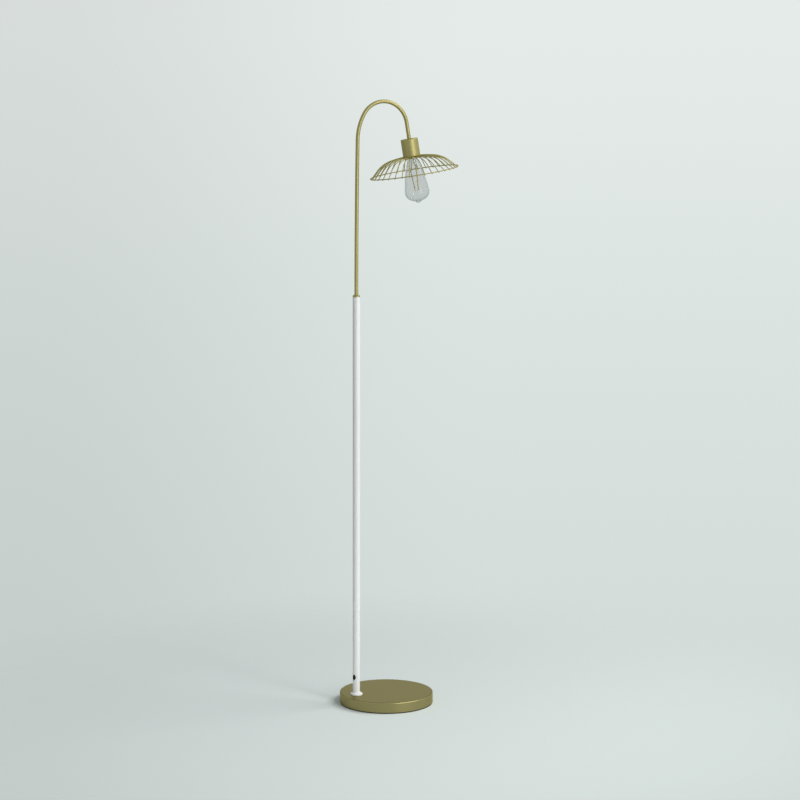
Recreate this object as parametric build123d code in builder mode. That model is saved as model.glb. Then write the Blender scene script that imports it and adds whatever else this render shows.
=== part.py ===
from build123d import *
from math import acos, asin, atan2, cos, degrees, hypot, radians, sin, sqrt
import os

# Floor lamp: a round weighted base, a straight pole that stands near the base's edge, a thin
# gooseneck that curves back over the base, and a shallow dome of radial wires under a socket cup,
# round a bare bulb. Millimetres, +Z up, origin on the floor under the middle of the base.
# The gooseneck bends in the XZ plane, towards +X.

# ---------------------------------------------------------------- base
base_diameter = 250.0
base_cover_height = 26.5
base_cover_wall = 1.5
base_edge_radius = 2.5
cover_lift = 3.0             # the pad under the cover holds it this far off the floor
pad_setback = 0.8            # of the pad's edge from the cover's
weight_gap = 0.3
weight_chamfer = 1.5
bolt_recess_diameter = 40.0
bolt_recess_depth = 12.0

# ---------------------------------------------------------------- bolt that holds the pole
bolt_diameter = 10.0
bolt_length = 35.0
bolt_head_flats = 16.0
bolt_head_height = 6.4
bolt_hole_clearance = 0.5
thread_gap = 0.05            # radial gap left between a thread and its nut
washer_diameter = 30.0
washer_thickness = 2.0
lock_washer_diameter = 18.0
lock_washer_thickness = 2.2
lock_washer_split = 2.0

# ---------------------------------------------------------------- pole
pole_inset = 37.0            # of the pole's axis from the base's edge
pole_diameter = 19.0
pole_wall = 1.2
pole_length = 1064.5
pole_edge_chamfer = 0.4
plug_gap = 0.03              # radial gap of the plugs pressed into the pole
foot_plug_length = 22.0
flange_diameter = 32.5
flange_height = 5.0
flange_gap = 0.1
flange_edge_radius = 3.0

# ---------------------------------------------------------------- cable grommet
grommet_height = 48.0        # above the top of the base
grommet_rim_height = 15.0    # it is a standing oval, wrapped round the pole
grommet_rim_width = 11.0
grommet_rim_thickness = 0.35
grommet_rim_overlap = 1.2    # of the rim over the edge of the pole's hole
grommet_lip_thickness = 1.2
grommet_bore_diameter = 6.6
grommet_gap = 0.05
grommet_turn = 23.0          # round the pole, from facing straight away from the gooseneck

# ---------------------------------------------------------------- joint of pole and gooseneck
top_plug_length = 18.0
collar_height = 6.0
collar_disc_height = 3.2
collar_nose_diameter = 12.0
collar_edge_radius = 0.6

# ---------------------------------------------------------------- gooseneck
arm_diameter = 10.0
arm_wall = 1.0
arm_root_length = 14.0       # threaded end inside the pole
leg_length = 407.0           # the long leg is sprung forward in a very shallow curve
leg_lean = 1.0               # where the long leg ends, from vertical
bend_radius = 143.0          # the wide bend that begins the crook
bend_turn = 28.2
crook_radius = 65.5          # the tight bend over the top
head_tilt = 9.8              # of the lamp head, from hanging straight down
arm_drop = 42.5              # straight run from the crook to the cup
arm_tail_length = 11.0       # threaded end inside the cup

# ---------------------------------------------------------------- socket cup
cup_height = 45.0
cup_diameter = 45.6
cup_wall = 1.5
cup_edge_radius = 2.0
cup_hole_gap = 0.1
cup_washer_diameter = 20.0
cup_washer_thickness = 1.0

# ---------------------------------------------------------------- lampholder
holder_neck_diameter = 16.0
holder_neck_length = 10.3
holder_cap_diameter = 36.8
holder_cap_wall = 2.0
holder_cap_slope = 3.0
holder_cap_skirt = 14.0
holder_fit_gap = 0.1
holder_floor_thickness = 3.5
holder_flange_height = 3.0
holder_skirt_diameter = 36.0
holder_bore_diameter = 27.8
holder_skirt_below_hub = 4.4
screw_shell_diameter = 27.6
screw_shell_wall = 0.5
screw_shell_length = 20.0
contact_strip_width = 6.0
contact_strip_length = 16.0
contact_strip_thickness = 0.5
terminal_spacing = 20.0
terminal_head_diameter = 5.5
terminal_head_height = 1.8
terminal_shank_diameter = 3.0
terminal_shank_length = 3.0

# ---------------------------------------------------------------- wire shade
rib_count = 36
rib_wire_diameter = 2.2
rim_wire_diameter = 2.6
rim_diameter = 233.2         # to the middle of the rim wire
shade_depth = 42.5           # from the ribs' start to the plane of the rim
shade_turn = 1.3             # of the first rib from the plane of the gooseneck
hub_diameter = 44.8
hub_thickness = 2.2
hub_gap = 0.1
weld_gap = 0.1
crown_slope = 3.6            # of the ribs where they leave the hub
crown_radius = 242.0
crown_turn = 9.0
shoulder_radius = 73.0
rib_overrun = 1.4            # the ribs' ends stand past the rim by this much
ring_nut_diameter = 42.0
ring_nut_height = 3.6
ring_nut_grips = 16
ring_nut_grip_radius = 1.4

# ---------------------------------------------------------------- bulb
bulb_length = 146.0
bulb_diameter = 65.0
bulb_widest = 116.8          # from the contact to the widest place
glass_wall = 0.8
bulb_neck_diameter = 25.3
bulb_flare_radius = 16.3     # the outline above the neck: a hollow flare, a long flank, then the
bulb_flank_radius = 342.0    # belly arc that holds the widest place
bulb_belly_radius = 22.2
bulb_belly_end = 49.0        # angle that the belly arc runs past the widest place
bulb_nipple_diameter = 18.6
bulb_nipple_height = 5.5
bulb_cap_diameter = 26.2
bulb_cap_wall = 0.4
bulb_cap_length = 27.0       # from the contact to the cap's rim
bulb_contact_diameter = 9.5
bulb_contact_height = 1.6
bulb_insulator_height = 2.4
insulator_depth_in_cap = 3.0
bulb_part_gap = 0.03
glass_depth_in_cap = 8.0
stem_flare_thickness = 1.5
stem_diameter = 6.0
stem_end = 42.0              # from the contact
filament_diameter = 2.8
filament_start = 47.0        # from the contact
filament_end = 112.0
filament_spread_start = 17.4
filament_spread_end = 8.6
filament_shift_start = -1.3  # of the pair from the bulb's axis
filament_shift_end = -0.1
filament_turn = 25.0         # of the pair's plane from the plane of the gooseneck
lead_diameter = 0.7
lead_spacing = 3.0           # between the two leads where they leave the stem
lead_run = 1.6               # straight part of a lead at either end
lead_bend_radius = 0.8

# ---------------------------------------------------------------- worked out from the above
base_top = cover_lift + base_cover_height
cover_inner_radius = base_diameter / 2 - base_cover_wall
weight_height = base_cover_height - base_cover_wall
recess_ceiling = cover_lift + bolt_recess_depth
washer_bottom = recess_ceiling - washer_thickness
lock_washer_bottom = washer_bottom - lock_washer_thickness
bolt_radius = bolt_diameter / 2
thread_bore_radius = bolt_radius + thread_gap
pole_radius = pole_diameter / 2
pole_inner_radius = pole_radius - pole_wall
pole_offset = base_diameter / 2 - pole_inset
pole_top = base_top + pole_length
grommet_level = base_top + grommet_height
grommet_neck_height = grommet_rim_height - 2 * grommet_rim_overlap
grommet_neck_width = grommet_rim_width - 2 * grommet_rim_overlap
arm_radius = arm_diameter / 2
arm_bore_radius = arm_radius + thread_gap

pole_foot = Plane(origin=(-pole_offset, 0, 0))
pole_section = Plane(origin=(-pole_offset, 0, 0), x_dir=(1, 0, 0), z_dir=(0, -1, 0))
pole_axis = Axis((-pole_offset, 0, 0), (0, 0, 1))
grommet_plane = Plane(
    origin=(-pole_offset, 0, grommet_level),
    x_dir=(0, 0, 1),
    z_dir=(-cos(radians(grommet_turn)), -sin(radians(grommet_turn)), 0),
)

os.makedirs("parts", exist_ok=True)

# ================================================================ base
# Spun cover: a shallow drum with a rounded top edge, open below, with one hole for the bolt.
with BuildPart() as base_cover:
    with BuildSketch(Plane.XY.offset(cover_lift)):
        Circle(base_diameter / 2)
    extrude(amount=base_cover_height)
    top_edge = base_cover.edges().group_by(Axis.Z)[-1]
    fillet(top_edge, base_edge_radius)
    floor_face = base_cover.faces().sort_by(Axis.Z)[0]
    offset(amount=-base_cover_wall, openings=floor_face)
    with Locations(pole_foot.offset(base_top)):
        Hole(bolt_radius + bolt_hole_clearance, depth=2 * base_cover_wall)
base_cover.part.label = "base_cover"
export_step(base_cover.part, "parts/base_cover.step")

# Cast weight that fills the cover, with a stepped hole for the bolt and its washers.
with BuildPart() as base_weight:
    with BuildSketch(Plane.XY.offset(cover_lift)):
        Circle(cover_inner_radius - weight_gap)
    extrude(amount=weight_height)
    weight_top_edge = base_weight.edges().group_by(Axis.Z)[-1]
    chamfer(weight_top_edge, weight_chamfer)
    with Locations(Plane(origin=(-pole_offset, 0, cover_lift), z_dir=(0, 0, -1))):
        CounterBoreHole(
            radius=bolt_radius + bolt_hole_clearance,
            counter_bore_radius=bolt_recess_diameter / 2,
            counter_bore_depth=bolt_recess_depth,
        )
base_weight.part.label = "base_weight"
export_step(base_weight.part, "parts/base_weight.step")

# Soft pad that the lamp stands on, almost as wide as the cover. It closes the bolt's recess.
with BuildPart() as base_pad:
    with BuildSketch():
        Circle(base_diameter / 2 - pad_setback)
    extrude(amount=cover_lift)
base_pad.part.label = "base_pad"
export_step(base_pad.part, "parts/base_pad.step")

# Hexagon bolt, up through washers, weight and cover into the pole's foot plug.
with BuildPart() as base_bolt:
    with BuildSketch(pole_foot.offset(lock_washer_bottom - bolt_head_height)):
        RegularPolygon(radius=bolt_head_flats / 2, side_count=6, major_radius=False)
    extrude(amount=bolt_head_height)
    with BuildSketch(pole_foot.offset(lock_washer_bottom)):
        Circle(bolt_radius)
    extrude(amount=bolt_length)
    bolt_tip_edge = base_bolt.edges().group_by(Axis.Z)[-1]
    chamfer(bolt_tip_edge, bolt_diameter / 12)
base_bolt.part.label = "base_bolt"
export_step(base_bolt.part, "parts/base_bolt.step")

with BuildPart() as base_lock_washer:
    with BuildSketch(pole_foot.offset(lock_washer_bottom)):
        Circle(lock_washer_diameter / 2)
        Circle(thread_bore_radius, mode=Mode.SUBTRACT)
        with Locations((lock_washer_diameter / 2, 0)):
            Rectangle(lock_washer_diameter, lock_washer_split, mode=Mode.SUBTRACT)
    extrude(amount=lock_washer_thickness)
base_lock_washer.part.label = "base_lock_washer"
export_step(base_lock_washer.part, "parts/base_lock_washer.step")

with BuildPart() as base_washer:
    with BuildSketch(pole_foot.offset(washer_bottom)):
        Circle(washer_diameter / 2)
        Circle(bolt_radius + bolt_hole_clearance, mode=Mode.SUBTRACT)
    extrude(amount=washer_thickness)
base_washer.part.label = "base_washer"
export_step(base_washer.part, "parts/base_washer.step")

# ================================================================ pole
# Low flange with a rounded top edge that hides the foot of the pole.
with BuildPart() as pole_flange:
    with BuildSketch(pole_foot.offset(base_top)):
        Circle(flange_diameter / 2)
        Circle(pole_radius + flange_gap, mode=Mode.SUBTRACT)
    extrude(amount=flange_height)
    flange_top_edge = pole_flange.edges().group_by(Axis.Z)[-1].sort_by(SortBy.RADIUS)[-1]
    fillet(flange_top_edge, flange_edge_radius)
pole_flange.part.label = "pole_flange"
export_step(pole_flange.part, "parts/pole_flange.step")

with BuildPart() as pole_tube:
    with BuildSketch(pole_foot.offset(base_top)):
        Circle(pole_radius)
        Circle(pole_inner_radius, mode=Mode.SUBTRACT)
    extrude(amount=pole_length)
    pole_mouth_edge = pole_tube.edges().group_by(Axis.Z)[-1].sort_by(SortBy.RADIUS)[-1]
    chamfer(pole_mouth_edge, pole_edge_chamfer)
    with BuildSketch(grommet_plane):
        Ellipse(grommet_neck_height / 2 + grommet_gap, grommet_neck_width / 2 + grommet_gap)
    extrude(amount=pole_diameter, mode=Mode.SUBTRACT)
pole_tube.part.label = "pole_tube"
export_step(pole_tube.part, "parts/pole_tube.step")

# Threaded plugs pressed into the two ends of the pole.
with BuildPart() as pole_foot_plug:
    with BuildSketch(pole_foot.offset(base_top)):
        Circle(pole_inner_radius - plug_gap)
        Circle(thread_bore_radius, mode=Mode.SUBTRACT)
    extrude(amount=foot_plug_length)
pole_foot_plug.part.label = "pole_foot_plug"
export_step(pole_foot_plug.part, "parts/pole_foot_plug.step")

with BuildPart() as pole_top_plug:
    with BuildSketch(pole_foot.offset(pole_top)):
        Circle(pole_inner_radius - plug_gap)
        Circle(arm_bore_radius, mode=Mode.SUBTRACT)
    extrude(amount=-top_plug_length)
pole_top_plug.part.label = "pole_top_plug"
export_step(pole_top_plug.part, "parts/pole_top_plug.step")

# Oval rubber grommet low on the back of the pole. Its rim and its lip follow the tube's wall.
with BuildPart() as cable_grommet:
    with BuildSketch(grommet_plane):
        Ellipse(grommet_rim_height / 2, grommet_rim_width / 2)
    extrude(amount=pole_radius + grommet_rim_thickness)
    with BuildSketch(pole_foot.offset(grommet_level)):
        Circle(pole_radius + grommet_gap)
        Circle(pole_inner_radius - grommet_gap, mode=Mode.SUBTRACT)
    extrude(amount=grommet_rim_height, both=True, mode=Mode.SUBTRACT)
    with BuildSketch(grommet_plane):
        Ellipse(grommet_neck_height / 2, grommet_neck_width / 2)
    extrude(amount=pole_radius + grommet_rim_thickness)
    with BuildSketch(pole_foot.offset(grommet_level)):
        Circle(pole_radius + grommet_rim_thickness)
        Circle(pole_inner_radius - grommet_gap - grommet_lip_thickness, mode=Mode.SUBTRACT)
    extrude(amount=grommet_rim_height, both=True, mode=Mode.INTERSECT)
    with BuildSketch(grommet_plane):
        Circle(grommet_bore_diameter / 2)
    extrude(amount=pole_diameter, mode=Mode.SUBTRACT)
cable_grommet.part.label = "cable_grommet"
export_step(cable_grommet.part, "parts/cable_grommet.step")

# Reducing collar: a disc as wide as the pole that swells down from the gooseneck.
with BuildPart() as arm_collar:
    with BuildSketch(pole_section):
        with BuildLine():
            Polyline(
                (arm_bore_radius, pole_top + collar_height),
                (arm_bore_radius, pole_top),
                (pole_radius, pole_top),
                (pole_radius, pole_top + collar_disc_height),
            )
            Line(
                (arm_bore_radius, pole_top + collar_height),
                (collar_nose_diameter / 2, pole_top + collar_height),
            )
            RadiusArc(
                (collar_nose_diameter / 2, pole_top + collar_height),
                (pole_radius, pole_top + collar_disc_height),
                collar_height,
            )
        make_face()
    revolve(axis=pole_axis)
    collar_outer_edges = arm_collar.edges().filter_by(GeomType.CIRCLE).sort_by(SortBy.RADIUS)[-2:]
    fillet(collar_outer_edges, collar_edge_radius)
arm_collar.part.label = "arm_collar"
export_step(arm_collar.part, "parts/arm_collar.step")

# ================================================================ gooseneck
# A shallow bow for the long leg, a wide bend, a tight crook and a short drop to the cup.
crook_turn = 180 - head_tilt - leg_lean - bend_turn
with BuildPart() as arm_tube:
    with BuildLine(pole_section) as arm_line:
        root = Line((0, pole_top - arm_root_length), (0, pole_top))
        leg = JernArc(root @ 1, root % 1, leg_length / radians(leg_lean), -leg_lean)
        bend = JernArc(leg @ 1, leg % 1, bend_radius, -bend_turn)
        crook = JernArc(bend @ 1, bend % 1, crook_radius, -crook_turn)
        Line(crook @ 1, (crook @ 1) + (crook % 1) * (arm_drop + arm_tail_length))
    with BuildSketch(pole_foot.offset(pole_top - arm_root_length)):
        Circle(arm_radius)
        Circle(arm_radius - arm_wall, mode=Mode.SUBTRACT)
    sweep(path=arm_line.line)
arm_tube.part.label = "arm_tube"
export_step(arm_tube.part, "parts/arm_tube.step")

# The head hangs on the gooseneck's end. Its planes and profiles are measured down its own axis
# from the top of the cup.
head_down = arm_line.line % 1
cup_top = (arm_line.line @ 1) - head_down * arm_tail_length
head_side = Vector(-head_down.Z, 0, head_down.X)
head_plane = Plane(origin=cup_top, x_dir=head_side, z_dir=head_down)
head_section = Plane(origin=cup_top, x_dir=head_side, z_dir=(0, 1, 0))
head_axis = Axis(cup_top, head_down)

# ================================================================ cup and lampholder
with BuildPart() as socket_cup:
    with BuildSketch(head_section):
        with BuildLine():
            Polyline(
                (arm_radius + cup_hole_gap, 0),
                (cup_diameter / 2, 0),
                (cup_diameter / 2, cup_height),
                (cup_diameter / 2 - cup_wall, cup_height),
                (cup_diameter / 2 - cup_wall, cup_wall),
                (arm_radius + cup_hole_gap, cup_wall),
                close=True,
            )
        make_face()
    revolve(axis=head_axis)
    cup_outer_edges = socket_cup.edges().filter_by(GeomType.CIRCLE).sort_by(SortBy.RADIUS)[-2:]
    cup_shoulder = cup_outer_edges.sort_by(Axis.Z)[-1]
    fillet(cup_shoulder, cup_edge_radius)
socket_cup.part.label = "socket_cup"
export_step(socket_cup.part, "parts/socket_cup.step")

with BuildPart() as cup_washer:
    with BuildSketch(head_plane.offset(cup_wall)):
        Circle(cup_washer_diameter / 2)
        Circle(arm_bore_radius, mode=Mode.SUBTRACT)
    extrude(amount=cup_washer_thickness)
cup_washer.part.label = "cup_washer"
export_step(cup_washer.part, "parts/cup_washer.step")

# Lampholder: a domed cap that screws on the gooseneck's end, and a body that screws into it.
holder_top = cup_wall + cup_washer_thickness
holder_shoulder = holder_top + holder_neck_length
holder_cap_end = holder_shoulder + holder_cap_slope + holder_cap_skirt
holder_cap_radius = holder_cap_diameter / 2
with BuildPart() as holder_cap:
    with BuildSketch(head_section):
        with BuildLine():
            Polyline(
                (arm_bore_radius, holder_top),
                (holder_neck_diameter / 2, holder_top),
                (holder_neck_diameter / 2, holder_shoulder),
                (holder_cap_radius, holder_shoulder + holder_cap_slope),
                (holder_cap_radius, holder_cap_end),
                (holder_cap_radius - holder_cap_wall, holder_cap_end),
                (holder_cap_radius - holder_cap_wall, holder_shoulder + holder_cap_slope + holder_cap_wall),
                (holder_neck_diameter / 2, holder_shoulder + holder_cap_wall),
                (arm_bore_radius, holder_shoulder + holder_cap_wall),
                close=True,
            )
        make_face()
    revolve(axis=head_axis)
holder_cap.part.label = "holder_cap"
export_step(holder_cap.part, "parts/holder_cap.step")

bulb_seat = holder_shoulder + holder_cap_slope + holder_cap_wall + terminal_head_height
bulb_seat = bulb_seat + holder_floor_thickness + contact_strip_thickness
holder_floor_top = bulb_seat - contact_strip_thickness - holder_floor_thickness
hub_top = cup_height
holder_end = hub_top + hub_thickness + holder_skirt_below_hub
plug_radius = holder_cap_radius - holder_cap_wall - holder_fit_gap
with BuildPart() as holder_body:
    with BuildSketch(head_section):
        with BuildLine():
            Polyline(
                (0, holder_floor_top),
                (plug_radius, holder_floor_top),
                (plug_radius, holder_cap_end),
                (holder_cap_radius, holder_cap_end),
                (holder_cap_radius, holder_cap_end + holder_flange_height),
                (holder_skirt_diameter / 2, holder_cap_end + holder_flange_height),
                (holder_skirt_diameter / 2, holder_end),
                (holder_bore_diameter / 2, holder_end),
                (holder_bore_diameter / 2, holder_floor_top + holder_floor_thickness),
                (0, holder_floor_top + holder_floor_thickness),
                close=True,
            )
        make_face()
    revolve(axis=head_axis)
    with Locations(head_plane.offset(holder_floor_top)):
        with GridLocations(terminal_spacing, 0, 2, 1):
            Hole(terminal_shank_diameter / 2 + thread_gap, depth=terminal_shank_length + holder_fit_gap)
holder_body.part.label = "holder_body"
export_step(holder_body.part, "parts/holder_body.step")

with BuildPart() as terminal_screws:
    with BuildSketch(head_plane.offset(holder_floor_top)):
        with GridLocations(terminal_spacing, 0, 2, 1):
            Circle(terminal_head_diameter / 2)
    extrude(amount=-terminal_head_height)
    with BuildSketch(head_plane.offset(holder_floor_top)):
        with GridLocations(terminal_spacing, 0, 2, 1):
            Circle(terminal_shank_diameter / 2)
    extrude(amount=terminal_shank_length)
terminal_screws.part.label = "terminal_screws"
export_step(terminal_screws.part, "parts/terminal_screws.step")

shell_start = bulb_seat + bulb_contact_height + bulb_insulator_height
with BuildPart() as screw_shell:
    with BuildSketch(head_plane.offset(shell_start)):
        Circle(screw_shell_diameter / 2)
        Circle(screw_shell_diameter / 2 - screw_shell_wall, mode=Mode.SUBTRACT)
    extrude(amount=screw_shell_length)
screw_shell.part.label = "screw_shell"
export_step(screw_shell.part, "parts/screw_shell.step")

with BuildPart() as center_contact:
    with BuildSketch(head_plane.offset(holder_floor_top + holder_floor_thickness)):
        SlotOverall(contact_strip_length, contact_strip_width)
    extrude(amount=contact_strip_thickness)
center_contact.part.label = "center_contact"
export_step(center_contact.part, "parts/center_contact.step")

# ================================================================ wire shade
# Flat hub ring, held up against the cup's mouth by a ring nut on the lampholder's skirt.
with BuildPart() as shade_hub:
    with BuildSketch(head_plane.offset(hub_top)):
        Circle(hub_diameter / 2)
        Circle(holder_skirt_diameter / 2 + hub_gap, mode=Mode.SUBTRACT)
    extrude(amount=hub_thickness)
shade_hub.part.label = "shade_hub"
export_step(shade_hub.part, "parts/shade_hub.step")

with BuildPart() as shade_ring_nut:
    with BuildSketch(head_plane.offset(hub_top + hub_thickness)):
        Circle(ring_nut_diameter / 2)
        Circle(holder_skirt_diameter / 2 + thread_gap, mode=Mode.SUBTRACT)
        with PolarLocations(ring_nut_diameter / 2 + ring_nut_grip_radius / 2, ring_nut_grips):
            Circle(ring_nut_grip_radius, mode=Mode.SUBTRACT)
    extrude(amount=ring_nut_height)
shade_ring_nut.part.label = "shade_ring_nut"
export_step(shade_ring_nut.part, "parts/shade_ring_nut.step")

# One rib in its own section: radius to the right, and depth below the cup's top downwards.
# It runs along the crown arc and the shoulder arc, and then straight, passing under the rim
# wire at the distance where the two wires touch.
rib_level = hub_top + hub_thickness / 2
rim_radius = rim_diameter / 2
rim_level = rib_level + shade_depth
rib_start = hub_diameter / 2 + weld_gap
crown_end_slope = crown_slope + crown_turn
crown_centre = (
    rib_start - crown_radius * sin(radians(crown_slope)),
    rib_level + crown_radius * cos(radians(crown_slope)),
)
shoulder_centre = (
    crown_centre[0] + (crown_radius - shoulder_radius) * sin(radians(crown_end_slope)),
    crown_centre[1] - (crown_radius - shoulder_radius) * cos(radians(crown_end_slope)),
)
wire_distance = (rim_wire_diameter + rib_wire_diameter) / 2 + weld_gap
rim_from_centre = (rim_radius - shoulder_centre[0], rim_level - shoulder_centre[1])
skirt_slope = degrees(
    atan2(rim_from_centre[1], rim_from_centre[0])
    + asin((shoulder_radius + wire_distance) / hypot(*rim_from_centre))
)
skirt_length = rib_overrun + sqrt(
    hypot(*rim_from_centre) ** 2 - (shoulder_radius + wire_distance) ** 2
)

with BuildPart(mode=Mode.PRIVATE) as single_rib:
    crown_heading = (cos(radians(crown_slope)), 0, sin(radians(crown_slope)))
    with BuildSketch(Plane(origin=(rib_start, 0, rib_level), z_dir=crown_heading)):
        Circle(rib_wire_diameter / 2)
    revolve(axis=Axis((crown_centre[0], 0, crown_centre[1]), (0, -1, 0)), revolution_arc=crown_turn)
    crown_end = single_rib.faces().filter_by(GeomType.PLANE).sort_by(Axis.X)[-1]
    shoulder_axis = Axis((shoulder_centre[0], 0, shoulder_centre[1]), (0, -1, 0))
    revolve(crown_end, axis=shoulder_axis, revolution_arc=skirt_slope - crown_end_slope)
    shoulder_end = single_rib.faces().filter_by(GeomType.PLANE).sort_by(Axis.X)[-1]
    extrude(shoulder_end, amount=skirt_length)

with BuildPart(head_plane) as shade_ribs:
    with PolarLocations(0, rib_count, start_angle=shade_turn):
        add(single_rib.part)
shade_ribs.part.label = "shade_ribs"
export_step(shade_ribs.part, "parts/shade_ribs.step")

with BuildPart() as shade_rim:
    with BuildSketch(head_section):
        with Locations((rim_radius, rim_level)):
            Circle(rim_wire_diameter / 2)
    revolve(axis=head_axis)
shade_rim.part.label = "shade_rim"
export_step(shade_rim.part, "parts/shade_rim.step")

# ================================================================ bulb
# The bulb's planes and profiles are measured down the head's axis from its contact.
bulb_plane = head_plane.offset(bulb_seat)
bulb_origin = cup_top + head_down * bulb_seat
bulb_section = Plane(origin=bulb_origin, x_dir=head_side, z_dir=(0, 1, 0))
cap_start = bulb_contact_height + bulb_insulator_height
cap_inner_radius = bulb_cap_diameter / 2 - bulb_cap_wall
glass_mouth = bulb_cap_length - glass_depth_in_cap
nipple_start = bulb_length - bulb_nipple_height

# The flank's circle touches the flare's from outside and holds the belly's inside it: its centre
# is the third corner of a triangle with known sides.
flare_centre = Vector(bulb_neck_diameter / 2 + bulb_flare_radius, bulb_cap_length)
belly_centre = Vector(bulb_diameter / 2 - bulb_belly_radius, bulb_widest)
flare_to_belly = belly_centre - flare_centre
flare_to_flank = bulb_flank_radius + bulb_flare_radius
belly_to_flank = bulb_flank_radius - bulb_belly_radius
corner_angle = acos(
    (flare_to_flank**2 + flare_to_belly.length**2 - belly_to_flank**2)
    / (2 * flare_to_flank * flare_to_belly.length)
)
flank_direction = degrees(atan2(flare_to_belly.Y, flare_to_belly.X) + corner_angle)
flank_centre = flare_centre + Vector(1, 0).rotate(Axis.Z, flank_direction) * flare_to_flank
flank_start = flank_direction - 180
flank_end = degrees(atan2(belly_centre.Y - flank_centre.Y, belly_centre.X - flank_centre.X))


def glass_curve(wall):
    """Half outline of the bulb from neck to tip, moved in from its outer surface by a wall."""
    neck_radius = bulb_neck_diameter / 2 - wall
    nipple_foot = (bulb_nipple_diameter / 2 - wall, nipple_start - wall)
    with BuildLine() as curve:
        Line((neck_radius, glass_mouth), (neck_radius, bulb_cap_length))
        CenterArc(flare_centre, bulb_flare_radius + wall, 180, flank_start)
        CenterArc(flank_centre, bulb_flank_radius - wall, flank_start, flank_end - flank_start)
        belly = CenterArc(
            belly_centre, bulb_belly_radius - wall, flank_end, bulb_belly_end - flank_end
        )
        TangentArc(belly @ 1, nipple_foot, tangent=belly % 1)
        TangentArc((0, bulb_length - wall), nipple_foot, tangent=(1, 0))
    return curve.line


# Thin-walled clear glass, open at the neck.
with BuildPart() as bulb_glass:
    with BuildSketch(bulb_section):
        with BuildLine():
            add(glass_curve(0))
            add(glass_curve(glass_wall))
            Line(
                (bulb_neck_diameter / 2, glass_mouth),
                (bulb_neck_diameter / 2 - glass_wall, glass_mouth),
            )
            Line((0, bulb_length), (0, bulb_length - glass_wall))
        make_face()
    revolve(axis=head_axis)
bulb_glass.part.label = "bulb_glass"
export_step(bulb_glass.part, "parts/bulb_glass.step")

with BuildPart() as bulb_cap:
    with BuildSketch(bulb_plane.offset(cap_start)):
        Circle(bulb_cap_diameter / 2)
        Circle(cap_inner_radius, mode=Mode.SUBTRACT)
    extrude(amount=bulb_cap_length - cap_start)
bulb_cap.part.label = "bulb_cap"
export_step(bulb_cap.part, "parts/bulb_cap.step")

with BuildPart() as bulb_insulator:
    with BuildSketch(bulb_section):
        with BuildLine():
            Polyline(
                (0, bulb_contact_height),
                (bulb_contact_diameter / 2, bulb_contact_height),
                (cap_inner_radius - bulb_part_gap, cap_start),
                (cap_inner_radius - bulb_part_gap, cap_start + insulator_depth_in_cap),
                (0, cap_start + insulator_depth_in_cap),
                close=True,
            )
        make_face()
    revolve(axis=head_axis)
bulb_insulator.part.label = "bulb_insulator"
export_step(bulb_insulator.part, "parts/bulb_insulator.step")

with BuildPart() as bulb_contact:
    with BuildSketch(bulb_plane):
        Circle(bulb_contact_diameter / 2)
    extrude(amount=bulb_contact_height)
bulb_contact.part.label = "bulb_contact"
export_step(bulb_contact.part, "parts/bulb_contact.step")

# Glass stem that closes the neck and carries the filaments.
with BuildPart() as bulb_stem:
    with BuildSketch(bulb_plane.offset(glass_mouth)):
        Circle(bulb_neck_diameter / 2 - glass_wall - bulb_part_gap)
    extrude(amount=stem_flare_thickness)
    with BuildSketch(bulb_plane.offset(glass_mouth + stem_flare_thickness)):
        Circle(stem_diameter / 2)
    extrude(amount=stem_end - glass_mouth - stem_flare_thickness)
bulb_stem.part.label = "bulb_stem"
export_step(bulb_stem.part, "parts/bulb_stem.step")

# The two filaments stand in one plane through the bulb and lean towards each other.
filament_side = head_side.rotate(Axis((0, 0, 0), head_down), filament_turn)
filament_section = Plane(
    origin=bulb_origin, x_dir=filament_side, z_dir=filament_side.cross(head_down)
)
left_start = (filament_shift_start - filament_spread_start / 2, filament_start)
left_end = (filament_shift_end - filament_spread_end / 2, filament_end)
right_start = (filament_shift_start + filament_spread_start / 2, filament_start)
right_end = (filament_shift_end + filament_spread_end / 2, filament_end)
left_lean = (left_end[0] - left_start[0]) / (filament_end - filament_start)
right_lean = (right_end[0] - right_start[0]) / (filament_end - filament_start)

with BuildPart() as bulb_filaments:
    for start, end in ((left_start, left_end), (right_start, right_end)):
        with BuildLine(filament_section) as filament_line:
            Line(start, end)
        with BuildSketch(Plane(origin=filament_line.line @ 0, z_dir=filament_line.line % 0)):
            Circle(filament_diameter / 2)
        sweep(path=filament_line.line)
bulb_filaments.part.label = "bulb_filaments"
export_step(bulb_filaments.part, "parts/bulb_filaments.step")

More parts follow.
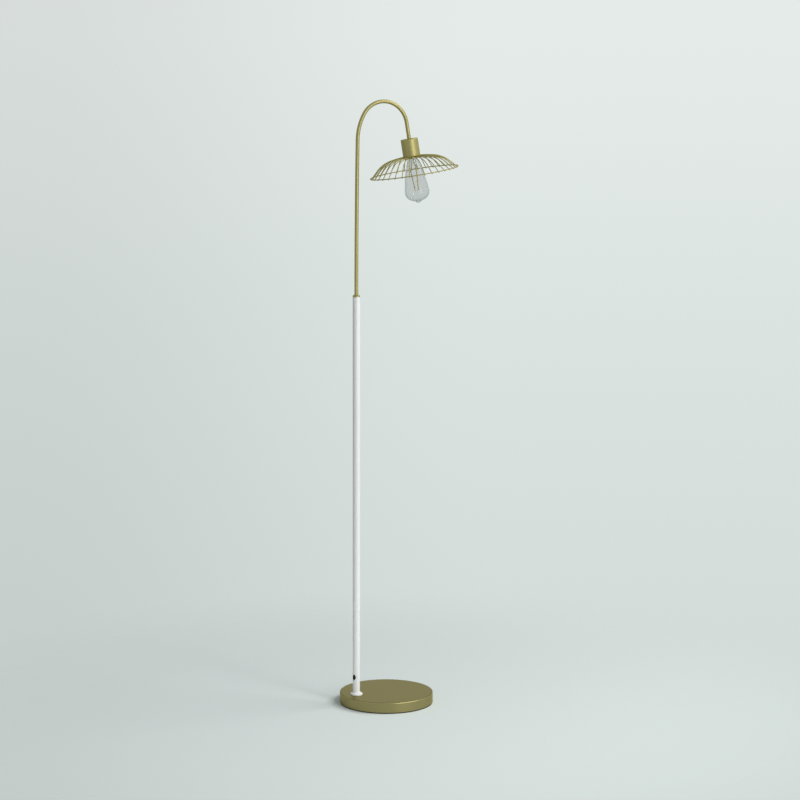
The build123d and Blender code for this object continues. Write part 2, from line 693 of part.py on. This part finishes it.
# Wires: one from the stem to each filament, one joining the filaments' far ends, and two
# from the insulator to the foot of the stem.
lead_side = lead_spacing / 2
lead_foot = cap_start + insulator_depth_in_cap
with BuildPart() as bulb_leads:
    for side, start, lean in ((-1, left_start, left_lean), (1, right_start, right_lean)):
        with BuildLine(filament_section) as upper_lead:
            FilletPolyline(
                (side * lead_side, stem_end),
                (side * lead_side, stem_end + lead_run),
                (start[0] - lean * lead_run, start[1] - lead_run),
                start,
                radius=lead_bend_radius,
            )
        with BuildSketch(Plane(origin=upper_lead.line @ 0, z_dir=upper_lead.line % 0)):
            Circle(lead_diameter / 2)
        sweep(path=upper_lead.line)
        with BuildLine(filament_section) as lower_lead:
            Line((side * lead_side, lead_foot), (side * lead_side, glass_mouth))
        with BuildSketch(Plane(origin=lower_lead.line @ 0, z_dir=lower_lead.line % 0)):
            Circle(lead_diameter / 2)
        sweep(path=lower_lead.line)
    with BuildLine(filament_section) as bridge:
        FilletPolyline(
            left_end,
            (left_end[0] + left_lean * lead_run, left_end[1] + lead_run),
            (right_end[0] + right_lean * lead_run, right_end[1] + lead_run),
            right_end,
            radius=lead_bend_radius,
        )
    with BuildSketch(Plane(origin=bridge.line @ 0, z_dir=bridge.line % 0)):
        Circle(lead_diameter / 2)
    sweep(path=bridge.line)
bulb_leads.part.label = "bulb_leads"
export_step(bulb_leads.part, "parts/bulb_leads.step")
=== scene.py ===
import math

import bmesh
import bpy
from mathutils import Matrix, Vector


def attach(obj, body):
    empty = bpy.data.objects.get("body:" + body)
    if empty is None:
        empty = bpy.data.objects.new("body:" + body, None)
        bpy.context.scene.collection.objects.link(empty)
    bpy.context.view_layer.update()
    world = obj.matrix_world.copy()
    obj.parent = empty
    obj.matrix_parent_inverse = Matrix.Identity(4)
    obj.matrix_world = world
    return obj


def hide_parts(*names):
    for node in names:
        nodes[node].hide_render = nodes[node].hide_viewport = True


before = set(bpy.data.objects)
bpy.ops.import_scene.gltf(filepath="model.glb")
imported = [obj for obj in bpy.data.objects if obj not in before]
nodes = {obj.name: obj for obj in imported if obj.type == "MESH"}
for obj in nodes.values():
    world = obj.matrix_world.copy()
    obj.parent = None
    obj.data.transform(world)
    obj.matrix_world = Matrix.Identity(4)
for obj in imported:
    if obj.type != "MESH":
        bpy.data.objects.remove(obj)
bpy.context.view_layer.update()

MM = 0.001

# ------------------------------------------------------------------ head's frame, as in the CAD
HEAD_TILT = math.radians(9.8)
HEAD_DOWN = Vector((math.sin(HEAD_TILT), 0.0, -math.cos(HEAD_TILT)))
HEAD_SIDE = Vector((math.cos(HEAD_TILT), 0.0, math.sin(HEAD_TILT)))
HEAD_DEPTH = Vector((0.0, 1.0, 0.0))
CUP_TOP = Vector((62.656535, 0.0, 1505.561653)) * MM
BULB_CONTACT = CUP_TOP + HEAD_DOWN * 23.6 * MM

# ------------------------------------------------------------------ camera, fitted to the photo
CAMERA_TURN, CAMERA_FAR, CAMERA_HEIGHT = -24.147, 5.3240, 1.4464
CAMERA_PITCH, CAMERA_YAW, CAMERA_ROLL = 6.723, -0.375, 0.145
CAMERA_LENS, CAMERA_SENSOR = 91.04, 36.0
CAMERA_CLIP = (0.1, 100.0)


def polar(turn, far, height):
    """Place by angle from -Y towards +X, distance from the base's middle and height."""
    angle = math.radians(turn)
    return Vector((far * math.sin(angle), -far * math.cos(angle), height))


def add_object(name, data):
    """New object of the scene."""
    obj = bpy.data.objects.new(name, data)
    bpy.context.scene.collection.objects.link(obj)
    return obj


def make_camera():
    heading = math.radians(CAMERA_TURN + CAMERA_YAW)
    pitch, roll = math.radians(CAMERA_PITCH), math.radians(CAMERA_ROLL)
    level_right = Vector((math.cos(heading), math.sin(heading), 0.0))
    level_ahead = Vector((-math.sin(heading), math.cos(heading), 0.0))
    ahead = level_ahead * math.cos(pitch) - Vector((0.0, 0.0, math.sin(pitch)))
    above = level_right.cross(ahead)
    right = level_right * math.cos(roll) + above * math.sin(roll)
    up = above * math.cos(roll) - level_right * math.sin(roll)
    data = bpy.data.cameras.new("camera")
    data.lens, data.sensor_width, data.sensor_fit = CAMERA_LENS, CAMERA_SENSOR, "HORIZONTAL"
    data.clip_start, data.clip_end = CAMERA_CLIP
    camera = add_object("camera", data)
    place = polar(CAMERA_TURN, CAMERA_FAR, CAMERA_HEIGHT)
    turned = Matrix((right, up, -ahead)).transposed().to_4x4()
    camera.matrix_world = Matrix.Translation(place) @ turned
    bpy.context.scene.camera = camera


make_camera()


# ------------------------------------------------------------------ node trees
def lin(r, g, b):
    """0..255 sRGB to linear, with full alpha."""
    values = []
    for v in (r, g, b):
        v /= 255.0
        values.append(v / 12.92 if v <= 0.04045 else ((v + 0.055) / 1.055) ** 2.4)
    return (*values, 1.0)


class Graph:
    """A node tree, with short calls for the nodes that its materials and world share."""

    def __init__(self, tree):
        self.tree = tree

    def node(self, kind, **inputs):
        n = self.tree.nodes.new(kind)
        for key, value in inputs.items():
            n.inputs[key.replace("_", " ")].default_value = value
        return n

    def link(self, a, b):
        self.tree.links.new(a, b)

    def ramp(self, fac, stops):
        """Colour by value: stops of position and colour."""
        r = self.node("ShaderNodeValToRGB")
        elements = r.color_ramp.elements
        while len(elements) < len(stops):
            elements.new(0.5)
        for element, (position, colour) in zip(elements, stops):
            element.position, element.color = position, colour
        self.link(fac, r.inputs["Fac"])
        return r.outputs["Color"]

    def span(self, fac, low, high, start=0.0, end=1.0, smooth=False):
        """The value's range from start to end, taken to the range from low to high."""
        m = self.node("ShaderNodeMapRange", From_Min=start, From_Max=end, To_Min=low, To_Max=high)
        if smooth:
            m.interpolation_type = "SMOOTHSTEP"
        self.link(fac, m.inputs["Value"])
        return m.outputs["Result"]

    def mix(self, a, b, factor=None, blend="MIX"):
        """Mix node of two colours; the factor is a number, or is linked later."""
        m = self.node("ShaderNodeMix")
        m.data_type, m.blend_type = "RGBA", blend
        self.link(a, m.inputs["A"])
        if isinstance(b, tuple):
            m.inputs["B"].default_value = b
        else:
            self.link(b, m.inputs["B"])
        if factor is not None:
            m.inputs["Factor"].default_value = factor
        return m

    def height(self, vector):
        """The vector's share along Z."""
        parts = self.node("ShaderNodeSeparateXYZ")
        self.link(vector, parts.inputs["Vector"])
        return parts.outputs["Z"]

    def vector_math(self, operation, vector):
        """Vector maths node with its first vector linked."""
        m = self.node("ShaderNodeVectorMath")
        m.operation = operation
        self.link(vector, m.inputs[0])
        return m

    def largest(self, first, *others):
        """The largest of some values."""
        result = first
        for other in others:
            m = self.node("ShaderNodeMath")
            m.operation = "MAXIMUM"
            self.link(result, m.inputs[0])
            self.link(other, m.inputs[1])
            result = m.outputs[0]
        return result


class Material(Graph):
    """A new material. Noise scales are in cycles a metre."""

    def __init__(self, name):
        self.mat = bpy.data.materials.new(name)
        self.mat.use_nodes = True
        super().__init__(self.mat.node_tree)
        self.bsdf = self.tree.nodes["Principled BSDF"]
        self.out = self.tree.nodes["Material Output"]
        self.coord = self.node("ShaderNodeTexCoord").outputs["Object"]

    def noise(self, scale, detail=2.0, rough=0.5, stretch=None):
        n = self.node("ShaderNodeTexNoise", Scale=scale, Detail=detail, Roughness=rough)
        vector = self.coord
        if stretch:
            m = self.node("ShaderNodeMapping", Scale=stretch)
            self.link(vector, m.inputs["Vector"])
            vector = m.outputs["Vector"]
        self.link(vector, n.inputs["Vector"])
        return n.outputs["Fac"]

    def colour(self, colour):
        self.link(colour, self.bsdf.inputs["Base Color"])

    def roughness(self, fac, low, high, start=0.0, end=1.0):
        self.link(self.span(fac, low, high, start, end), self.bsdf.inputs["Roughness"])

    def bump(self, height, strength, distance=0.2 * MM):
        b = self.node("ShaderNodeBump", Strength=strength, Distance=distance)
        self.link(height, b.inputs["Height"])
        self.link(b.outputs["Normal"], self.bsdf.inputs["Normal"])

    def set(self, **values):
        for key, value in values.items():
            self.bsdf.inputs[key.replace("_", " ")].default_value = value


# ------------------------------------------------------------------ materials
NOISE_LOW, NOISE_HIGH = 0.3, 0.7     # the part of a noise's range that carries its contrast


def two_tone(m, fac, low, high, start=NOISE_LOW, end=NOISE_HIGH):
    """Colour between two sRGB tones by a noise."""
    return m.ramp(fac, [(start, lin(*low)), (end, lin(*high))])


# Painted light on the base's lacquer by its normal's height: a painted dark line for a dark
# reflection where the flat top turns over, a painted highlight on the rounded edge, and painted
# shade that keeps the top darker than the side.
PAINTED_EDGE_LIGHT_BY_HEIGHT = (
    (0.20, (0.80, 0.80, 0.80, 1)),
    (0.45, (1, 1, 1, 1)),
    (0.62, (0.90, 0.90, 0.88, 1)),
    (0.74, (0.26, 0.26, 0.24, 1)),
    (0.96, (0.24, 0.24, 0.22, 1)),
    (0.99, (0.64, 0.64, 0.65, 1)),
)
PALE_GOLD_SHEEN, DEEP_GOLD_SHEEN = (0.86, 0.80, 0.50, 1.0), (0.64, 0.60, 0.40, 1.0)


def gold_lacquer(name, low, high, rough, metal, sheen=PALE_GOLD_SHEEN, painted_edge_light=False):
    """Olive-gold metallic lacquer: fine flake, slight orange peel, faint clouds. On request,
    painted highlight and shade on the edges by the normal's height.
    """
    m = Material(name)
    flake = m.noise(5200.0)
    cloud = m.noise(9.0, detail=3.0)
    clouds = two_tone(m, cloud, low, high)
    flakes = two_tone(m, flake, low, high, 0.35, 0.75)
    colour = m.mix(clouds, flakes, factor=0.25).outputs["Result"]
    # painted light: the edge tones, a painted highlight and a painted dark reflection line,
    # multiply the colour
    if painted_edge_light:
        normal = m.node("ShaderNodeNewGeometry").outputs["Normal"]
        painted_edge_tone = m.ramp(m.height(normal), PAINTED_EDGE_LIGHT_BY_HEIGHT)
        colour = m.mix(colour, painted_edge_tone, factor=1.0, blend="MULTIPLY").outputs["Result"]
    m.colour(colour)
    m.roughness(cloud, rough - 0.02, rough + 0.02, NOISE_LOW, NOISE_HIGH)
    m.bump(m.noise(600.0), 0.01)
    m.set(Metallic=metal, IOR=1.45, Specular_Tint=sheen)
    return m.mat


def white_coat(name):
    """White powder coat: very fine pebbled surface with slight waviness."""
    m = Material(name)
    cloud = m.noise(14.0, detail=3.0, stretch=(1.0, 1.0, 0.25))
    m.colour(two_tone(m, cloud, (234, 235, 234), (240, 240, 239)))
    m.roughness(m.noise(300.0), 0.40, 0.50, NOISE_LOW, NOISE_HIGH)
    m.bump(m.noise(2200.0, detail=3.0, rough=0.6), 0.12)
    m.set(IOR=1.5)
    return m.mat


def rubber(name, shade):
    """Matt black rubber."""
    m = Material(name)
    light = (shade + 9, shade + 9, shade + 8)
    m.colour(two_tone(m, m.noise(180.0, detail=3.0), (shade, shade, shade), light))
    m.roughness(m.noise(700.0), 0.55, 0.75)
    m.bump(m.noise(1600.0, detail=3.0), 0.2)
    return m.mat


def black_plastic(name):
    """Moulded black plastic with a slight gloss."""
    m = Material(name)
    m.colour(two_tone(m, m.noise(90.0), (24, 24, 23), (32, 32, 31)))
    m.roughness(m.noise(400.0), 0.22, 0.34)
    m.bump(m.noise(900.0), 0.06)
    return m.mat


def bare_metal(name, tone, rough=0.3):
    """Plated or turned metal with fine tool marks."""
    m = Material(name)
    marks = m.noise(500.0, detail=3.0, rough=0.6, stretch=(1.0, 1.0, 12.0))
    high = lin(*tone)
    low = tuple(v * 0.86 for v in high[:3]) + (1.0,)
    m.colour(m.ramp(marks, [(NOISE_LOW, low), (NOISE_HIGH, high)]))
    m.roughness(marks, rough - 0.06, rough + 0.10, NOISE_LOW, NOISE_HIGH)
    m.bump(marks, 0.08)
    m.set(Metallic=1.0)
    return m.mat


def concrete(name):
    """Raw cast concrete."""
    m = Material(name)
    grain = m.noise(160.0, detail=5.0, rough=0.65)
    dark, middle, light = lin(120, 118, 113), lin(150, 148, 142), lin(172, 170, 163)
    m.colour(m.ramp(grain, [(0.25, dark), (0.5, middle), (0.8, light)]))
    m.bump(grain, 0.5, distance=0.8 * MM)
    m.set(Roughness=0.92)
    return m.mat


GLEAM = (0.45, 0.45, 0.45, 1.0)      # strength of the glass's reflections


def clear_glass(name, middle, rim):
    """Smoky clear glass, deeper in tone where it is seen edge on. The tones are linear."""
    m = Material(name)
    facing = m.node("ShaderNodeLayerWeight", Blend=0.35).outputs["Facing"]
    lighter = tuple(min(1.0, v * 1.015) for v in middle)
    stops = [(NOISE_LOW, (*middle, 1.0)), (NOISE_HIGH, (*lighter, 1.0))]
    mix = m.mix(m.ramp(m.noise(22.0), stops), (*rim, 1.0))
    m.link(m.span(facing, 0.0, 1.0, 0.30, 0.80), mix.inputs["Factor"])
    m.colour(mix.outputs["Result"])
    m.set(Roughness=0.0, IOR=1.45, Transmission_Weight=1.0, Specular_Tint=GLEAM)
    return m.mat


def filament_coat(name):
    """Straw-coloured phosphor coat with the small cells under it."""
    m = Material(name)
    cells = m.noise(900.0)
    m.colour(two_tone(m, cells, (224, 198, 120), (238, 218, 150)))
    m.bump(cells, 0.3)
    m.set(Roughness=0.5)
    return m.mat


# One lacquer in four copies: their tones differ as painted light and shade, each set for how
# light falls on its part, and the base's is lighter to make up for its painted edge tones.
gold_base = gold_lacquer(
    "gold_lacquer_base", (164, 153, 104), (170, 159, 110), rough=0.30, metal=0.75,
    sheen=DEEP_GOLD_SHEEN, painted_edge_light=True,
)
gold_tube = gold_lacquer(
    "gold_lacquer_tube", (150, 141, 93), (156, 147, 98), rough=0.42, metal=0.7
)
gold_cup = gold_lacquer(
    "gold_lacquer_cup", (157, 148, 98), (163, 154, 103), rough=0.50, metal=0.75
)
gold_wire = gold_lacquer(
    "gold_lacquer_wire", (150, 142, 84), (160, 151, 92), rough=0.42, metal=0.4
)
white = white_coat("white_powder_coat")
black_rubber = rubber("black_rubber", 26)
pad_rubber = rubber("pad_rubber", 20)
plastic = black_plastic("black_plastic")
steel = bare_metal("plated_steel", (196, 196, 192))
nickel = bare_metal("nickel_plate", (206, 198, 176), rough=0.28)
brass = bare_metal("bare_brass", (210, 178, 108))
solder = bare_metal("solder", (176, 176, 172), rough=0.45)
stone = concrete("concrete")
glass = clear_glass("bulb_glass", (0.825, 0.832, 0.832), (0.42, 0.43, 0.43))
stem_glass = clear_glass("stem_glass", (0.90, 0.92, 0.94), (0.6, 0.64, 0.68))
coat = filament_coat("filament_coat")

nodes_of = {
    gold_base: ("base_cover",),
    stone: ("base_weight",),
    pad_rubber: ("base_pad",),
    steel: (
        "base_bolt", "base_lock_washer", "base_washer", "pole_foot_plug", "pole_top_plug",
        "cup_washer",
    ),
    white: ("pole_flange", "pole_tube"),
    black_rubber: ("cable_grommet",),
    gold_tube: ("arm_collar", "arm_tube"),
    gold_cup: ("socket_cup",),
    plastic: ("holder_cap", "holder_body", "bulb_insulator"),
    brass: ("terminal_screws", "screw_shell", "center_contact"),
    gold_wire: ("shade_hub", "shade_ring_nut", "shade_ribs", "shade_rim"),
    glass: ("bulb_glass",),
    nickel: ("bulb_cap", "bulb_leads"),
    solder: ("bulb_contact",),
    stem_glass: ("bulb_stem",),
    coat: ("bulb_filaments",),
}
for material, names in nodes_of.items():
    for name in names:
        mesh = nodes[name].data
        mesh.materials.clear()
        mesh.materials.append(material)


# ------------------------------------------------------------------ the bulb's glass
# The CAD's outline with finer facets. All in mm: the radius, and the depth from the contact.
GLASS_WALL = 0.8
GLASS_NECK, GLASS_MOUTH, GLASS_TIP = 12.65, 19.0, 146.0
NIPPLE_FOOT = (9.3, 140.5)
# each arc's centre and own radius
FLARE = (28.95, 27.0, 16.3)
FLANK = (-307.8494, 149.25, 342.0)
BELLY = (10.3, 116.8, 22.2)
FLANK_START, FLANK_END, BELLY_END = map(math.radians, (-19.9497, -5.8238, 49.0))
# steps along each arc, and round the glass
FLARE_STEPS, FLANK_STEPS, BELLY_STEPS, END_STEPS, NIPPLE_STEPS = 8, 28, 14, 10, 10
GLASS_TURNS = 160
GLASS_SHARP = math.radians(25.0)
ON_AXIS = 1e-6


def bulb_point(radius, depth, angle):
    """Point of the bulb: radius and depth in mm, angle anticlockwise seen from above."""
    out = HEAD_SIDE * math.cos(angle) + HEAD_DEPTH * math.sin(angle)
    return BULB_CONTACT + out * (radius * MM) + HEAD_DOWN * (depth * MM)


def arc_between(centre, radius, start, end, count):
    """Points of an arc after its start, as radius and depth."""
    turns = [start + (end - start) / count * (k + 1) for k in range(count)]
    return [
        (centre[0] + radius * math.cos(t), centre[1] + radius * math.sin(t)) for t in turns
    ]


def glass_outline(wall):
    """Half outline of the bulb's glass from its mouth to its tip, moved in by a wall."""
    foot = (NIPPLE_FOOT[0] - wall, NIPPLE_FOOT[1] - wall)
    pts = [(GLASS_NECK - wall, GLASS_MOUTH), (GLASS_NECK - wall, FLARE[1])]
    pts += arc_between(FLARE, FLARE[2] + wall, math.pi, math.pi + FLANK_START, FLARE_STEPS)
    pts += arc_between(FLANK, FLANK[2] - wall, FLANK_START, FLANK_END, FLANK_STEPS)
    pts += arc_between(BELLY, BELLY[2] - wall, FLANK_END, BELLY_END, BELLY_STEPS)
    # an arc that runs on from the belly to the foot of the nipple
    end = pts[-1]
    out = (math.cos(BELLY_END), math.sin(BELLY_END))
    run = (end[0] - foot[0], end[1] - foot[1])
    radius = (run[0] ** 2 + run[1] ** 2) / (2 * (run[0] * out[0] + run[1] * out[1]))
    centre = (end[0] - radius * out[0], end[1] - radius * out[1])
    last = math.atan2(foot[1] - centre[1], foot[0] - centre[0])
    pts += arc_between(centre, radius, BELLY_END, last, END_STEPS)
    # the nipple's round end, from its foot to the axis
    tip = GLASS_TIP - wall
    radius = (foot[0] ** 2 + (tip - foot[1]) ** 2) / (2 * (tip - foot[1]))
    centre = (0.0, tip - radius)
    first = math.atan2(foot[1] - centre[1], foot[0])
    return pts + arc_between(centre, radius, first, math.pi / 2, NIPPLE_STEPS)


def make_glass():
    """The thin glass as one closed shell: outer wall, rim of the mouth and inner wall."""
    bm = bmesh.new()
    rings = []
    for radius, depth in glass_outline(0.0)[::-1] + glass_outline(GLASS_WALL):
        if radius < ON_AXIS:
            rings.append([bm.verts.new(bulb_point(0.0, depth, 0.0))])
            continue
        turns = [math.tau * k / GLASS_TURNS for k in range(GLASS_TURNS)]
        rings.append([bm.verts.new(bulb_point(radius, depth, t)) for t in turns])
    for near, far in zip(rings, rings[1:]):
        for k in range(GLASS_TURNS):
            corners = (
                near[k % len(near)],
                near[(k + 1) % len(near)],
                far[(k + 1) % len(far)],
                far[k % len(far)],
            )
            # a ring of one point gives the same corner twice, so it is kept once
            bm.faces.new(dict.fromkeys(corners))
    bmesh.ops.recalc_face_normals(bm, faces=bm.faces)
    mesh = bpy.data.meshes.new("bulb_glass_fine")
    bm.to_mesh(mesh)
    bm.free()
    mesh.shade_smooth()
    mesh.set_sharp_from_angle(angle=GLASS_SHARP)
    mesh.materials.append(glass)
    obj = add_object("bulb_glass_fine", mesh)
    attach(obj, "bulb")
    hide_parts("bulb_glass")


make_glass()


# ------------------------------------------------------------------ floor and backdrop
FLOOR_RADIUS, FLOOR_CORNERS = 12.0, 96
PAPER_DARK, PAPER_LIGHT = (232, 241, 238), (233, 242, 239)
PAPER_FADE = (0.35, 1.5)             # distances from the middle where the paper fades out
BACKDROP_HEIGHTS = (-0.30, 0.06)     # Z of the view's direction at the ends of the tones
BACKDROP_TONES = (
    (0.0, lin(208, 217, 214)),
    (0.38, lin(214, 223, 220)),
    (0.65, lin(220, 228, 225)),
    (1.0, lin(229, 235, 233)),
)
BACKDROP_RIGHT = (0.910, -0.415, 0.0)
BACKDROP_SIDES = (-0.19, 0.05)       # shares of the direction along BACKDROP_RIGHT
BACKDROP_SHADE = 0.865               # brightness at the first share, 1 at the second
AMBIENT_TONE, AMBIENT_STRENGTH = (0.97, 1.0, 1.0, 1.0), 0.31


def backdrop_colour(g, vector):
    """Pale grey-green by direction: darker towards the floor and towards the left."""
    tone = g.ramp(g.span(g.height(vector), 0.0, 1.0, *BACKDROP_HEIGHTS), BACKDROP_TONES)
    across = g.vector_math("DOT_PRODUCT", vector)
    across.inputs[1].default_value = BACKDROP_RIGHT
    share = across.outputs["Value"]
    scale = g.vector_math("SCALE", tone)
    shade = g.span(share, BACKDROP_SHADE, 1.0, *BACKDROP_SIDES, smooth=True)
    g.link(shade, scale.inputs["Scale"])
    return scale.outputs["Vector"]


def make_world():
    """The backdrop as it is seen, straight, through glass or mirrored, and a plain light."""
    world = bpy.data.worlds.new("world")
    bpy.context.scene.world = world
    world.use_nodes = True
    g = Graph(world.node_tree)
    g.tree.nodes.clear()
    direction = g.node("ShaderNodeTexCoord").outputs["Generated"]
    rays = g.node("ShaderNodeLightPath").outputs
    is_seen = g.largest(
        rays["Is Camera Ray"], rays["Is Transmission Ray"], rays["Is Glossy Ray"]
    )
    seen = g.node("ShaderNodeBackground", Strength=1.0)
    g.link(backdrop_colour(g, direction), seen.inputs["Color"])
    lit = g.node("ShaderNodeBackground", Color=AMBIENT_TONE, Strength=AMBIENT_STRENGTH)
    mix = g.node("ShaderNodeMixShader")
    g.link(is_seen, mix.inputs["Fac"])
    g.link(lit.outputs[0], mix.inputs[1])
    g.link(seen.outputs[0], mix.inputs[2])
    g.link(mix.outputs[0], g.node("ShaderNodeOutputWorld").inputs["Surface"])


def floor_paper():
    """Matt paper that fades into the backdrop with distance."""
    m = Material("floor_paper")
    m.tree.nodes.remove(m.bsdf)
    diffuse = m.node("ShaderNodeBsdfDiffuse")
    grain = two_tone(m, m.noise(160.0, detail=3.0), PAPER_DARK, PAPER_LIGHT)
    m.link(grain, diffuse.inputs["Color"])
    clear = m.node("ShaderNodeBsdfTransparent")
    distance = m.vector_math("LENGTH", m.coord).outputs["Value"]
    mix = m.node("ShaderNodeMixShader")
    m.link(m.span(distance, 0.0, 1.0, *PAPER_FADE, smooth=True), mix.inputs["Fac"])
    m.link(diffuse.outputs[0], mix.inputs[1])
    m.link(clear.outputs[0], mix.inputs[2])
    m.link(mix.outputs[0], m.out.inputs["Surface"])
    return m.mat


def make_floor():
    bm = bmesh.new()
    bmesh.ops.create_circle(bm, cap_ends=True, segments=FLOOR_CORNERS, radius=FLOOR_RADIUS)
    mesh = bpy.data.meshes.new("floor")
    bm.to_mesh(mesh)
    bm.free()
    mesh.materials.append(floor_paper())
    obj = add_object("floor", mesh)


make_world()
make_floor()


# ------------------------------------------------------------------ lights
def softbox(name, place, aim_height, diameter, power, through_glass=False):
    """Round soft light, aimed at a height over the base's middle.

    Seen through the bulb, a large one would be a white disc, so it is left out there.
    """
    data = bpy.data.lights.new(name, "AREA")
    data.shape, data.size, data.energy = "DISK", diameter, power
    obj = add_object(name, data)
    obj.location = place
    obj.visible_transmission = through_glass
    aim = Vector((0.0, 0.0, aim_height))
    obj.rotation_euler = (aim - place).to_track_quat("-Z", "Y").to_euler()


softbox("front_softbox", polar(15.0, 4.2, 1.1), 0.8, 2.4, 73.0)
softbox("side_softbox", polar(68.0, 4.6, 5.5), 0.3, 4.4, 222.0)
softbox("fill_softbox", polar(-80.0, 4.0, 0.9), 0.8, 2.6, 6.0)
# a small one that makes the round glint low in the bulb
softbox("glint_light", polar(16.0, 3.4, 4.1), 1.3, 0.8, 24.0, through_glass=True)

bpy.context.scene.view_settings.view_transform = "Standard"
